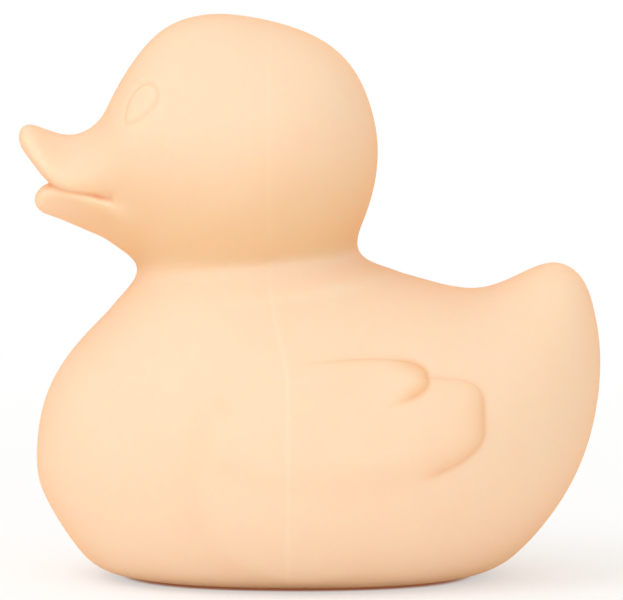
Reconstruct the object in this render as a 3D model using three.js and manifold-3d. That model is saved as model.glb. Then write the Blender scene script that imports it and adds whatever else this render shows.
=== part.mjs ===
// Duck teether: one hollow rubber moulding, modelled as a single closed solid.
// Millimetres, +Z up. The duck looks along -X and stands on z = 0.
import * as THREE from "three";
import { mergeVertices } from "three/addons/utils/BufferGeometryUtils.js";
import Module from "manifold-3d";

// Body
const BODY_LENGTH = 94.2; // breast to rump
const BODY_WIDTH = 74; // across the belly
const BODY_HEIGHT = 53; // floor to the groove of the neck
const TAIL_HEIGHT = 52.2; // floor to the top of the tail
const BASE_ROUNDING = 4; // height in which the belly turns into the flat base

// Neck
const NECK_SETBACK = 35.4; // breast to the middle of the neck
const NECK_LENGTH = 36.5; // front to back in the groove
const NECK_WIDTH = 38.8; // side to side in the groove
const NECK_RISE = 4.2; // how much higher the groove lies at the nape than at the throat
const NECK_ROUNDING = 3.2; // radius that fills the groove
const NECK_SKIRT = 5; // straight run from that radius into the body
const NECK_ROOT = 12; // depth to which the neck reaches inside the body

// Head
const HEAD_LENGTH = 43; // forehead to the back of the head
const HEAD_HEIGHT = 40.6; // groove of the neck to the crown
const HEAD_WIDTH = 46.4; // cheek to cheek

// Bill
const BILL_LENGTH = 15.4; // root to tip of the upper bill
const BILL_DEPTH = 18.7; // brow to the underside of the upper bill, at its root
const BILL_WIDTH = 24; // across the upper bill
const LOWER_BILL_LENGTH = 12.8; // root to tip of the lower bill
const LOWER_BILL_DEPTH = 7.3; // height of the lower bill below and above its root
const LOWER_BILL_WIDTH = 21.6; // across the lower bill

// Wing
const WING_LENGTH = 45.8;
const WING_DEPTH = 17.4;
const WING_THICKNESS = 1.1; // how far it stands off the flank
const WING_EDGE = 4.5; // width of the rounded edge behind
const WING_FADE = 5; // width of the soft edge in front and below
const FEATHER_LENGTH = 32.2; // feather that lies along the top of the wing
const FEATHER_DEPTH = 8.1;
const FEATHER_THICKNESS = 0.8; // how far it stands off the wing
const FEATHER_EDGE = 2.6; // width of its rounded edge

// Eye
const EYE_LENGTH = 7.95; // pointed corner to round end
const EYE_WIDTH = 4.2;
const EYE_BULGE = 0.5; // height of the lens
const EYE_GROOVE_DEPTH = 0.35;
const EYE_GROOVE_WIDTH = 0.55;

// How deep raised pieces are set into what carries them, and how far cutters stand off it
const SET_IN = 0.12;
const BACKING = 1;

// Places and angles on the form, as shares of the piece that carries them
const WING_PLACE = [1.262, 0.511]; // on the body
const WING_FRONT = 0.32; // share of its thickness that the wing has in front
const WING_RISE = [-0.6, 0.6]; // stretch along the wing, from its middle, in which it gains the rest
const WING_CORNER = 6; // power that fills out its upper rear corner; an oval has 2
const WING_CRISP_TURN = THREE.MathUtils.degToRad(6); // middle of the crisp stretch of its edge
const WING_CRISP = [51, 67].map(THREE.MathUtils.degToRad); // turns from there at which it goes soft
const EDGE_FULLNESS = 0.72; // power of the rounded edges: 1 is a parabola, 0.5 a quarter of an oval
const FEATHER_PLACE = [-0.05, 0.418]; // on the wing, from its middle
const FEATHER_SLANT = THREE.MathUtils.degToRad(4);
const FEATHER_SQUARENESS = 0.76; // power that fills out its oval
const FEATHER_RISE_ABOVE = [-1, 0.6]; // cosines round its outline between which its upper edge rises
const FEATHER_RISE_BELOW = [0.2, 0.95]; // and its lower edge
const EYE_PLACE = [-0.456, 0.562]; // pointed corner, on the head
const EYE_SLANT = THREE.MathUtils.degToRad(53);
const EYE_TAPER = [0.8, 0.5]; // powers that point the front end and round the rear end
const EYE_MIDDLE = [0.25, 0.75]; // ends of the line along the middle of the lens
const BILL_ROOT = [-0.527, 0.201]; // on the head
const THROAT_BEND = [[-0.395, 0.008], [-0.56, 0.13]]; // handles of the throat's curve, on the head
const NAPE_TURN = THREE.MathUtils.degToRad(62); // how far the groove's radius turns behind
const THROAT_TURN = THREE.MathUtils.degToRad(34); // and in front

// Fineness of the facets
const SAG = 0.15; // most that a facet lies off the true surface
const SHORTEST = 1.2; // edge that is split no further for that
const COLUMNS = 10; // facets across half a section before they are split
const PASSES = 7; // times that they may be split
const WING_STEPS = 44; // points round the outline of the wing
const FEATHER_STEPS = 32; // of the feather
const EYE_STEPS = 26; // and of the eye
const SPLINE_PASSES = 40; // times that the spline's control values are drawn nearer
const FINDER_PASSES = 10; // steps that it takes to find a point from the side
const JOIN_WITHIN = 1e-4; // corners closer than this are one

// Rings of the pads, as shares of the way from their edge to their middle
const WING_RINGS = [0, 0.07, 0.15, 0.3, 0.55, 0.9];
const FEATHER_RINGS = [0, 0.15, 0.35, 0.75];
const EYE_RINGS = [0, 0.18, 0.45, 0.85];
const ROOT_RINGS = [1, 0.85, 0.55, 0.2]; // and rings of the neck's root, from its end

// Sections of the body from tail to breast. Each runs from the line of the back to the line of the belly.
// Along: 0 at the breast, 1 under the neck, 2 at the rump. Up: 0 at the floor, 1 at the groove or tail.
const BODY_SECTIONS = [
  { back: [1.943, 0.957], belly: [1.943, 0.957], width: 0, widest: 0.5 },
  { back: [1.865, 1], belly: [1.983, 0.846], width: 0.19, widest: 0.5 },
  { back: [1.768, 0.961], belly: [2, 0.667], width: 0.384, widest: 0.5 },
  { back: [1.669, 0.918], belly: [1.967, 0.431], width: 0.576, widest: 0.5 },
  { back: [1.564, 0.923], belly: [1.873, 0.214], width: 0.743, widest: 0.5 },
  { back: [1.445, 0.957], belly: [1.714, 0.028], width: 0.873, widest: 0.5 },
  { back: [1.317, 0.995], belly: [1.502, -0.079], width: 0.959, widest: 0.52 },
  { back: [1.17, 1.056], belly: [1.261, -0.113], width: 1, widest: 0.55 },
  { back: [1.009, 1.091], belly: [1.02, -0.113], width: 0.986, widest: 0.56 },
  { back: [0.775, 1.072], belly: [0.681, -0.085], width: 0.919, widest: 0.56 },
  { back: [0.563, 0.978], belly: [0.352, -0.003], width: 0.792, widest: 0.55 },
  { back: [0.389, 0.866], belly: [0.161, 0.123], width: 0.643, widest: 0.53 },
  { back: [0.238, 0.763], belly: [0.05, 0.244], width: 0.465, widest: 0.51 },
  { back: [0.116, 0.659], belly: [0.005, 0.355], width: 0.259, widest: 0.5 },
  { back: [0.029, 0.522], belly: [0.029, 0.522], width: 0, widest: 0.5 },
];

// Sections of the head from nape to forehead, in shares of its length and height from the neck's middle.
// The lower ends are spaced evenly along the throat.
const HEAD_SECTIONS = [
  { back: [0.451, 0.156], width: 0.866 },
  { back: [0.491, 0.296], width: 0.914 },
  { back: [0.505, 0.447], width: 0.961 },
  { back: [0.486, 0.587], width: 0.991 },
  { back: [0.434, 0.733], width: 1 },
  { back: [0.341, 0.854], width: 0.991 },
  { back: [0.202, 0.936], width: 0.957 },
  { back: [0.031, 0.985], width: 0.905 },
  { back: [-0.136, 1], width: 0.836, widest: 0.51 },
  { back: [-0.287, 0.961], width: 0.763, widest: 0.53 },
  { back: [-0.395, 0.87], width: 0.69, widest: 0.55 },
  { back: [-0.471, 0.76], width: 0.615, widest: 0.57 },
];

// Sections of the upper bill from brow to tip, in shares of its length and depth from its root.
const BILL_SECTIONS = [
  { top: [-0.011, 1.004], bottom: [-0.005, -0.004], width: 1.18, widest: 0.62 },
  { top: [0.103, 0.826], bottom: [0.087, 0.04], width: 1.11, widest: 0.66 },
  { top: [0.26, 0.708], bottom: [0.222, 0.076], width: 1.045, widest: 0.7 },
  { top: [0.433, 0.664], bottom: [0.379, 0.107], width: 0.99, widest: 0.72 },
  { top: [0.607, 0.685], bottom: [0.547, 0.161], width: 0.933, widest: 0.7 },
  { top: [0.758, 0.729], bottom: [0.71, 0.268], width: 0.825, widest: 0.64 },
  { top: [0.883, 0.756], bottom: [0.856, 0.415], width: 0.642, widest: 0.57 },
  { top: [0.97, 0.723], bottom: [0.959, 0.531], width: 0.358, widest: 0.5 },
  { top: [1, 0.634], bottom: [1, 0.634], width: 0, widest: 0.5 },
];

// Sections of the lower bill from throat to tip, in shares of its length and depth from the same root.
const LOWER_BILL_SECTIONS = [
  { top: [-0.95, -0.4], bottom: [-0.95, -0.4], width: 0, widest: 0.5 },
  { top: [-0.64, 0], bottom: [-0.66, -0.9], width: 0.85, widest: 0.35 },
  { top: [-0.26, 0.182], bottom: [-0.286, -1], width: 1.17, widest: 0.25 },
  { top: [0.078, 0.341], bottom: [0, -0.75], width: 1.1, widest: 0.2 },
  { top: [0.391, 0.5], bottom: [0.286, -0.523], width: 0.99, widest: 0.19 },
  { top: [0.651, 0.591], bottom: [0.573, -0.307], width: 0.87, widest: 0.2 },
  { top: [0.84, 0.58], bottom: [0.794, -0.159], width: 0.66, widest: 0.26 },
  { top: [0.964, 0.409], bottom: [0.938, -0.034], width: 0.382, widest: 0.4 },
  { top: [1, 0.193], bottom: [1, 0.193], width: 0, widest: 0.5 },
];

const { lerp, clamp, smoothstep } = THREE.MathUtils;
const wasm = await Module();
wasm.setup();

// Place on the body, in millimetres behind the breast and above the floor.
function onBody([along, up]) {
  const behind = Math.max(along - 1, 0);
  const ahead = Math.min(along, 1);
  const height = lerp(BODY_HEIGHT, TAIL_HEIGHT, behind);
  return [ahead * NECK_SETBACK + behind * (BODY_LENGTH - NECK_SETBACK), up * height];
}

// Place on the head, measured from the middle of the neck.
function onHead([along, up]) {
  return [NECK_SETBACK + along * HEAD_LENGTH, BODY_HEIGHT + up * HEAD_HEIGHT];
}

// Place on a bill of the given length and depth, measured forward from the bill's root.
function onBill([along, up], length, depth) {
  const root = onHead(BILL_ROOT);
  return [root[0] - along * length, root[1] + up * depth];
}

// Ring round the neck. The turn runs from 0 in the groove to 1 where the rounding ends, and the run goes
// straight on from there.
function neckRing(turn, run = 0) {
  const nape = turn * NAPE_TURN;
  const throat = turn * THROAT_TURN;
  const out = (angle) => NECK_ROUNDING * (1 - Math.cos(angle)) + run * Math.sin(angle);
  const down = (angle) => NECK_ROUNDING * Math.sin(angle) + run * Math.cos(angle);
  return {
    upper: [NECK_SETBACK + NECK_LENGTH / 2 + out(nape), BODY_HEIGHT + NECK_RISE / 2 - down(nape)],
    lower: [NECK_SETBACK - NECK_LENGTH / 2 - out(throat), BODY_HEIGHT - NECK_RISE / 2 - down(throat)],
    half: NECK_WIDTH / 2 + out((nape + throat) / 2),
    widest: 0.5,
  };
}

// Ring of the neck's root inside the body, shrunk and lowered towards the end of the root.
function rootRing(share) {
  const ring = neckRing(1, NECK_SKIRT);
  const middle = [NECK_SETBACK, BODY_HEIGHT - NECK_ROOT];
  const towards = (place) => [lerp(place[0], middle[0], share ** 2), lerp(place[1], middle[1], share)];
  return {
    upper: towards(ring.upper),
    lower: towards(ring.lower),
    half: ring.half * (1 - share ** 2),
    widest: ring.widest,
  };
}

function bodySections() {
  return BODY_SECTIONS.map(({ back, belly, width, widest }) => ({
    upper: onBody(back),
    lower: onBody(belly),
    half: (width * BODY_WIDTH) / 2,
    widest,
  }));
}

function headSections() {
  const root = ROOT_RINGS.map(rootRing);
  const skirt = [neckRing(1, NECK_SKIRT), neckRing(1, NECK_SKIRT / 2)];
  const neck = [neckRing(1), neckRing(0.5), neckRing(0)];
  const chin = onBill(BILL_SECTIONS[0].bottom, BILL_LENGTH, BILL_DEPTH);
  const throat = new THREE.CubicBezierCurve(
    new THREE.Vector2(...neckRing(0).lower),
    new THREE.Vector2(...onHead(THROAT_BEND[0])),
    new THREE.Vector2(...onHead(THROAT_BEND[1])),
    new THREE.Vector2(...chin),
  );
  const head = HEAD_SECTIONS.map(({ back, width, widest = 0.5 }, index) => {
    const share = (index + 1) / (HEAD_SECTIONS.length + 1);
    return {
      upper: onHead(back),
      lower: throat.getPoint(share).toArray(),
      half: (width * HEAD_WIDTH) / 2,
      widest,
    };
  });
  const bill = billSections(BILL_SECTIONS, BILL_LENGTH, BILL_DEPTH, BILL_WIDTH);
  return [...root, ...skirt, ...neck, ...head, ...bill];
}

function billSections(rows, length, depth, across) {
  return rows.map(({ top, bottom, width, widest }) => ({
    upper: onBill(top, length, depth),
    lower: onBill(bottom, length, depth),
    half: (width * across) / 2,
    widest,
  }));
}

// Closed cubic spline through values at equal steps, as a function of the step.
function closedSpline(values) {
  const count = values.length;
  const pick = (list, index) => list[((index % count) + count) % count];
  let control = values;
  for (let pass = 0; pass < SPLINE_PASSES; pass += 1) {
    const last = control;
    control = values.map((value, i) => (6 * value - pick(last, i - 1) - pick(last, i + 1)) / 4);
  }
  return (step) => {
    const i = Math.floor(step);
    const f = step - i;
    const g = 1 - f;
    const near = (3 * f ** 3 - 6 * f ** 2 + 4) * pick(control, i);
    const next = (3 * g ** 3 - 6 * g ** 2 + 4) * pick(control, i + 1);
    return (g ** 3 * pick(control, i - 1) + near + next + f ** 3 * pick(control, i + 2)) / 6;
  };
}

// Smooth surface through oval sections. u counts the sections, v runs from their upper to their lower ends.
function loft(sections) {
  const last = sections.length - 1;
  const lowerEnds = sections.slice(1, last).reverse();
  const around = (onUpper, onLower) => closedSpline([...sections.map(onUpper), ...lowerEnds.map(onLower)]);
  const x = around((section) => section.upper[0], (section) => section.lower[0]);
  const z = around((section) => section.upper[1], (section) => section.lower[1]);
  const half = around((section) => section.half, (section) => -section.half);
  const widest = around((section) => section.widest, (section) => section.widest);
  return (u, v) => {
    const turn = Math.PI * v;
    const even = (1 - Math.cos(turn)) / 2;
    const share = even / (even + (1 - even) * (1 / widest(u) - 1));
    const opposite = 2 * last - u;
    return new THREE.Vector3(
      lerp(x(u), x(opposite), share),
      half(u) * Math.sin(turn),
      lerp(z(u), z(opposite), share),
    );
  };
}

// Surface pressed flat where it reaches the floor, with a rounded edge.
function standOnFloor(surface) {
  return (u, v) => {
    const point = surface(u, v);
    const press = clamp(point.z + BASE_ROUNDING, 0, 2 * BASE_ROUNDING) ** 2 / (4 * BASE_ROUNDING);
    point.z = Math.max(press, point.z > BASE_ROUNDING ? point.z : 0);
    return point;
  };
}

// Finds the point of a surface that shows at a place in the side view, with the normal there.
function sideFinder(surface, rows) {
  const step = 1e-4;
  const starts = [];
  for (let u = 0.5; u < rows; u += 0.5) {
    for (let v = 0.1; v < 1; v += 0.1) starts.push({ u, v, point: surface(u, v) });
  }
  return ([x, z]) => {
    const miss = ({ point }) => Math.hypot(point.x - x, point.z - z);
    let { u, v } = starts.reduce((best, start) => (miss(start) < miss(best) ? start : best));
    let normal;
    for (let pass = 0; pass < FINDER_PASSES; pass += 1) {
      const point = surface(u, v);
      const alongU = surface(u + step, v).sub(point).divideScalar(step);
      const alongV = surface(u, v + step).sub(point).divideScalar(step);
      normal = alongV.clone().cross(alongU).normalize();
      const area = alongU.x * alongV.z - alongU.z * alongV.x;
      u += ((x - point.x) * alongV.z - (z - point.z) * alongV.x) / area;
      v += ((z - point.z) * alongU.x - (x - point.x) * alongU.z) / area;
    }
    return { point: surface(u, v), normal };
  };
}

// Pad that follows a surface on both sides of the duck. The outline holds the places of its edge and the
// places on its middle line that they face. Each ring lies a share of the way in, at its own height.
function pad(find, outline, rings, heightAt, backing) {
  const count = outline.length;
  const opposite = (i) => (count - i) % count;
  const layer = (share, height) => outline.map((spot) => {
    const place = [0, 1].map((k) => lerp(spot.edge[k], spot.middle[k], share));
    const { point, normal } = find(place);
    const inset = share * Math.hypot(spot.middle[0] - spot.edge[0], spot.middle[1] - spot.edge[1]);
    return { point: point.addScaledVector(normal, height({ ...spot, share, inset })) };
  });
  const layers = [layer(0, () => backing), ...rings.map((share) => layer(share, heightAt))];
  const triangles = [];
  const addQuad = (a, b, c, d) => triangles.push([a, c, b], [b, c, d]);
  for (let ring = 0; ring < layers.length - 1; ring += 1) {
    const base = ring * count;
    for (let i = 0; i < count; i += 1) {
      const next = (i + 1) % count;
      addQuad(base + i, base + next, base + count + i, base + count + next);
    }
  }
  const top = (layers.length - 1) * count;
  for (let i = 0; i < count / 2; i += 1) {
    addQuad(top + i, top + i + 1, top + opposite(i), top + opposite(i + 1));
    addQuad(i + 1, i, opposite(i + 1), opposite(i));
  }
  const turned = backing > 0 ? triangles.map(([a, b, c]) => [a, c, b]) : triangles;
  return mirroredSolid(layers.flat(), turned);
}

// Height of a rounded edge at a distance inside its outline, from 0 to 1 over its width.
function pillow(inset, width) {
  return (1 - (1 - clamp(inset / width, 0, 1)) ** 2) ** EDGE_FULLNESS;
}

// Wing outline: an oval with its upper rear corner filled out, round the wing's middle.
function wingOutline() {
  const middle = onBody(WING_PLACE);
  return Array.from({ length: WING_STEPS }, (_, i) => {
    const angle = (i / WING_STEPS) * 2 * Math.PI;
    const along = Math.cos(angle);
    const up = Math.sin(angle);
    const power = along > 0 && up > 0 ? WING_CORNER : 2;
    const reach = (Math.abs(along) ** power + Math.abs(up) ** power) ** (-1 / power);
    const edge = [(WING_LENGTH / 2) * along * reach, (WING_DEPTH / 2) * up * reach];
    const inner = edge[0] * (1 - WING_DEPTH / WING_LENGTH);
    const turn = Math.acos(Math.cos(angle - WING_CRISP_TURN));
    return {
      edge: [middle[0] + edge[0], middle[1] + edge[1]],
      middle: [middle[0] + inner, middle[1]],
      softness: smoothstep(turn, ...WING_CRISP),
      thickness: WING_THICKNESS * lerp(WING_FRONT, 1, smoothstep(inner / (WING_LENGTH / 2), ...WING_RISE)),
    };
  });
}

// Feather outline: a long rounded shape that sinks into the wing towards the front.
function featherOutline() {
  const wing = onBody(WING_PLACE);
  const middle = [wing[0] + FEATHER_PLACE[0] * WING_LENGTH, wing[1] + FEATHER_PLACE[1] * WING_DEPTH];
  const squared = (value) => Math.sign(value) * Math.abs(value) ** FEATHER_SQUARENESS;
  const place = (along, up) => [
    middle[0] + along * Math.cos(FEATHER_SLANT) - up * Math.sin(FEATHER_SLANT),
    middle[1] + along * Math.sin(FEATHER_SLANT) + up * Math.cos(FEATHER_SLANT),
  ];
  return Array.from({ length: FEATHER_STEPS }, (_, i) => {
    const angle = (i / FEATHER_STEPS) * 2 * Math.PI;
    const along = (FEATHER_LENGTH / 2) * squared(Math.cos(angle));
    const upper = (1 + Math.sin(angle)) / 2;
    const rise = [0, 1].map((k) => lerp(FEATHER_RISE_BELOW[k], FEATHER_RISE_ABOVE[k], upper));
    const own = FEATHER_THICKNESS * lerp(-1, 1, smoothstep(Math.cos(angle), ...rise));
    return {
      edge: place(along, (FEATHER_DEPTH / 2) * squared(Math.sin(angle))),
      middle: place(along * (1 - FEATHER_DEPTH / FEATHER_LENGTH), 0),
      height: own + WING_THICKNESS * (1 - upper),
    };
  });
}

// Eye outline, moved outwards by the given distance: pointed in front and below, round behind.
function eyeOutline(outwards) {
  const corner = onHead(EYE_PLACE);
  const place = (along, off) => [
    corner[0] + along * Math.cos(EYE_SLANT) - off * Math.sin(EYE_SLANT),
    corner[1] + along * Math.sin(EYE_SLANT) + off * Math.cos(EYE_SLANT),
  ];
  const [front, rear] = EYE_TAPER;
  const taper = (along) => along ** front * (1 - along) ** rear;
  const fullest = taper(front / (front + rear));
  return Array.from({ length: EYE_STEPS }, (_, i) => {
    const angle = (i / EYE_STEPS) * 2 * Math.PI;
    const along = (1 + Math.cos(angle)) / 2;
    const half = ((EYE_WIDTH / 2) * taper(along)) / fullest;
    const inner = lerp(...EYE_MIDDLE, along) * EYE_LENGTH;
    const spoke = new THREE.Vector2(along * EYE_LENGTH - inner, Math.sign(Math.sin(angle)) * half);
    spoke.setLength(spoke.length() + outwards);
    return { edge: place(inner + spoke.x, spoke.y), middle: place(inner, 0) };
  });
}

function wingPads(find) {
  const wingHeight = ({ inset, softness, thickness }) => {
    const rise = lerp(pillow(inset, WING_EDGE), smoothstep(inset, 0, WING_FADE), softness);
    return lerp(-SET_IN, thickness, rise);
  };
  const featherHeight = ({ inset, height }) => lerp(-SET_IN, height, pillow(inset, FEATHER_EDGE));
  const wing = pad(find, wingOutline(), WING_RINGS, wingHeight, -BACKING);
  return wing.add(pad(find, featherOutline(), FEATHER_RINGS, featherHeight, -BACKING));
}

function eyeLens(find) {
  const height = ({ share }) => lerp(-EYE_GROOVE_DEPTH, EYE_BULGE, Math.sin((share * Math.PI) / 2));
  return pad(find, eyeOutline(-EYE_GROOVE_WIDTH / 2), EYE_RINGS, height, -BACKING);
}

function eyePocket(find) {
  const height = ({ inset }) => -EYE_GROOVE_DEPTH * smoothstep(inset, 0, EYE_GROOVE_WIDTH / 2);
  return pad(find, eyeOutline(EYE_GROOVE_WIDTH / 2), EYE_RINGS, height, BACKING);
}

// One half of a surface as triangles, split until they follow it closely.
function halfMesh(surface, rows) {
  const vertices = [];
  const addVertex = (u, v) => vertices.push({ u, v, point: surface(u, v) }) - 1;
  const grid = (row, column) => row * (COLUMNS + 1) + column;
  let triangles = [];
  for (let row = 0; row <= rows; row += 1) {
    for (let column = 0; column <= COLUMNS; column += 1) addVertex(row, column / COLUMNS);
  }
  for (let row = 0; row < rows; row += 1) {
    for (let column = 0; column < COLUMNS; column += 1) {
      const [a, b] = [grid(row, column), grid(row, column + 1)];
      const [c, d] = [grid(row + 1, column), grid(row + 1, column + 1)];
      triangles.push([a, b, c], [b, d, c]);
    }
  }
  for (let pass = 0; pass < PASSES; pass += 1) {
    const halves = new Map();
    const halfway = (a, b) => {
      const key = Math.min(a, b) * 1e6 + Math.max(a, b);
      if (!halves.has(key)) halves.set(key, splitEdge(vertices[a], vertices[b], addVertex, surface));
      return halves.get(key);
    };
    triangles = triangles.flatMap((corners) => splitTriangle(corners, halfway, vertices));
  }
  return { vertices, triangles };
}

// New vertex halfway along an edge, or null where the edge already lies close to the surface.
function splitEdge(a, b, addVertex, surface) {
  const u = (a.u + b.u) / 2;
  const v = (a.v + b.v) / 2;
  const chord = a.point.clone().add(b.point).multiplyScalar(0.5);
  const point = surface(u, v);
  const tooFlat = point.distanceTo(chord) > SAG && a.point.distanceTo(b.point) > SHORTEST;
  return tooFlat ? addVertex(u, v) : null;
}

// Triangle cut at the new vertices of its edges.
function splitTriangle(corners, halfway, vertices) {
  const middles = corners.map((corner, i) => halfway(corner, corners[(i + 1) % 3]));
  const cuts = middles.filter((middle) => middle !== null).length;
  if (cuts === 0) return [corners];
  const first = cuts === 1 ? middles.findIndex((m) => m !== null) : (middles.indexOf(null) + 1) % 3;
  const [a, b, c] = [0, 1, 2].map((i) => corners[(first + i) % 3]);
  const [ab, bc, ca] = [0, 1, 2].map((i) => middles[(first + i) % 3]);
  if (cuts === 1) return [[a, ab, c], [ab, b, c]];
  if (cuts === 3) return [[a, ab, ca], [ab, b, bc], [ca, bc, c], [ab, bc, ca]];
  const reach = (from, to) => vertices[from].point.distanceTo(vertices[to].point);
  const rest = reach(a, bc) < reach(ab, c) ? [[a, ab, bc], [a, bc, c]] : [[a, ab, c], [ab, bc, c]];
  return [[ab, b, bc], ...rest];
}

// Solid from the triangles of one side and their mirror images.
function mirroredSolid(vertices, triangles) {
  const positions = [];
  const add = (index, side) => {
    const { x, y, z } = vertices[index].point;
    positions.push(x, side * y, z);
  };
  for (const [a, b, c] of triangles) {
    [a, b, c].forEach((index) => add(index, 1));
    [a, c, b].forEach((index) => add(index, -1));
  }
  const loose = new THREE.BufferGeometry();
  loose.setAttribute("position", new THREE.Float32BufferAttribute(positions, 3));
  const merged = mergeVertices(loose, JOIN_WITHIN);
  const index = [];
  for (let i = 0; i < merged.index.count; i += 3) {
    const corners = [0, 1, 2].map((k) => merged.index.getX(i + k));
    if (new Set(corners).size === 3) index.push(...corners);
  }
  const mesh = new wasm.Mesh({
    numProp: 3,
    vertProperties: merged.attributes.position.array,
    triVerts: new Uint32Array(index),
  });
  return new wasm.Manifold(mesh);
}

function loftSolid(surface, sections) {
  const { vertices, triangles } = halfMesh(surface, sections.length - 1);
  return mirroredSolid(vertices, triangles);
}

function bodySolid() {
  const sections = bodySections();
  const surface = standOnFloor(loft(sections));
  return loftSolid(surface, sections).add(wingPads(sideFinder(surface, sections.length - 1)));
}

function headSolid() {
  const sections = headSections();
  const surface = loft(sections);
  const find = sideFinder(surface, sections.length - 1);
  return loftSolid(surface, sections).subtract(eyePocket(find)).add(eyeLens(find));
}

function lowerBillSolid() {
  const sections = billSections(LOWER_BILL_SECTIONS, LOWER_BILL_LENGTH, LOWER_BILL_DEPTH, LOWER_BILL_WIDTH);
  return loftSolid(loft(sections), sections);
}

function duckGeometry() {
  const duck = bodySolid().add(headSolid()).add(lowerBillSolid()).getMesh();
  const geometry = new THREE.BufferGeometry();
  geometry.setAttribute("position", new THREE.Float32BufferAttribute(duck.vertProperties, 3));
  geometry.setIndex([...duck.triVerts]);
  geometry.computeBoundingBox();
  const { min, max } = geometry.boundingBox;
  geometry.translate(-(min.x + max.x) / 2, 0, 0);
  geometry.computeVertexNormals();
  return geometry;
}

const rubber = new THREE.MeshStandardMaterial({ color: 0xf6d6ae, roughness: 0.62, metalness: 0 });
const duck = new THREE.Mesh(duckGeometry(), rubber);
duck.name = "duck_body";

const teether = new THREE.Group();
teether.name = "duck_teether";
teether.add(duck);

export default teether;
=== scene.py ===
"""Looks of a one-piece rubber duck teether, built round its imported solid.

Shapes are worked out in millimetres, from the breast backwards and from the floor up, and are moved into
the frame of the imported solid, in metres, when the mesh is made.
"""

import logging
import math
from collections.abc import Callable
from dataclasses import dataclass, field
from enum import Enum

import bpy
import numpy as np
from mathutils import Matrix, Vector
from mathutils.bvhtree import BVHTree


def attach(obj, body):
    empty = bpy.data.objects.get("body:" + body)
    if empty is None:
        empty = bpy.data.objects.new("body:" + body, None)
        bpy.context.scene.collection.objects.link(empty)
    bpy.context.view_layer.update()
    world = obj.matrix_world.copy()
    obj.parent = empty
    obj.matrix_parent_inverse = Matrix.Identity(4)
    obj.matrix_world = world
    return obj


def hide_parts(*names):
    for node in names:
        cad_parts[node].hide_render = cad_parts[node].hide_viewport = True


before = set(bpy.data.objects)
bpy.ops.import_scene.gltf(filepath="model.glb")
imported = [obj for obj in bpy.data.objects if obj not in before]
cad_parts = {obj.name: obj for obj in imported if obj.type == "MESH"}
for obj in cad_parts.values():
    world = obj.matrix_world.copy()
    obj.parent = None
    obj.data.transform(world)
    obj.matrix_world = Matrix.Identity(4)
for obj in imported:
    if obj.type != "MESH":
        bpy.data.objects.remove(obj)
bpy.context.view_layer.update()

log = logging.getLogger("duck_teether")

MILLIMETRE = 0.001
PHOTO_WIDTH = 623
PHOTO_HEIGHT = 600
FAR = 1e3  # millimetres that count as out of reach
EDGE_FULLNESS = 0.72  # power of the rounded edges: 1 is a parabola, 0.5 a quarter of an oval

Array = np.ndarray
Values = np.ndarray | float
Pair = tuple[float, float]
Triple = tuple[float, float, float]
Colour = tuple[float, float, float, float]
Rows = tuple[tuple[float, ...], ...]
Inputs = dict[str | int, bpy.types.NodeSocket | float | tuple[float, ...]]

WHITE: Colour = (1.0, 1.0, 1.0, 1.0)


class EdgeKind(Enum):
    """How a raised form meets the skin round it."""

    PILLOW = "pillow"
    FADE = "fade"


class LampRole(Enum):
    """What a studio lamp is there for."""

    KEY = "key"
    FILL = "fill"


def mix(first: Values, second: Values, share: Values) -> Array:
    """Value a share of the way from the first to the second."""
    return first + (second - first) * share


def ease(value: Array, low: float, high: float) -> Array:
    """Smooth step from 0 at low to 1 at high."""
    share = np.clip((value - low) / (high - low), 0.0, 1.0)
    return share * share * (3.0 - 2.0 * share)


def bell(value: Array, width: Values) -> Array:
    """1 where the value is 0, falling away to both sides over the width."""
    return np.exp(-((value / width) ** 2))


def edge_profile(inset: Array, width: Values, kind: EdgeKind) -> Array:
    """Height of a raised edge, from 0 at its outline to 1 inside.

    Args:
        inset: Distance inwards from the outline.
        width: Distance over which the edge rises.
        kind: Whether it rises at once and rounds over, or fades in.

    Returns:
        The height for each inset.
    """
    share = np.clip(inset / width, 0.0, 1.0)
    if kind is EdgeKind.PILLOW:
        return (1.0 - (1.0 - share) ** 2) ** EDGE_FULLNESS
    return share * share * (3.0 - 2.0 * share)


def to_linear(red: int, green: int, blue: int) -> Colour:
    """Scene colour for a display colour of 0 to 255, by the standard display curve."""
    levels = [value / 255.0 for value in (red, green, blue)]
    lit = [v / 12.92 if v <= 0.04045 else ((v + 0.055) / 1.055) ** 2.4 for v in levels]
    return (lit[0], lit[1], lit[2], 1.0)


@dataclass(frozen=True)
class EdgeLength:
    """Length of mesh edges, which grows with the distance from a detail."""

    fine: float
    band: float
    growth: float

    def at(self, gap: Array) -> Array:
        """Length at each distance from the detail."""
        return self.fine + self.growth * np.maximum(gap - self.band, 0.0)


@dataclass(frozen=True)
class Section:
    """Oval across a form, between a point on its upper line and one on its lower line."""

    upper: Pair
    lower: Pair
    half: float
    widest: float = 0.5


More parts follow.
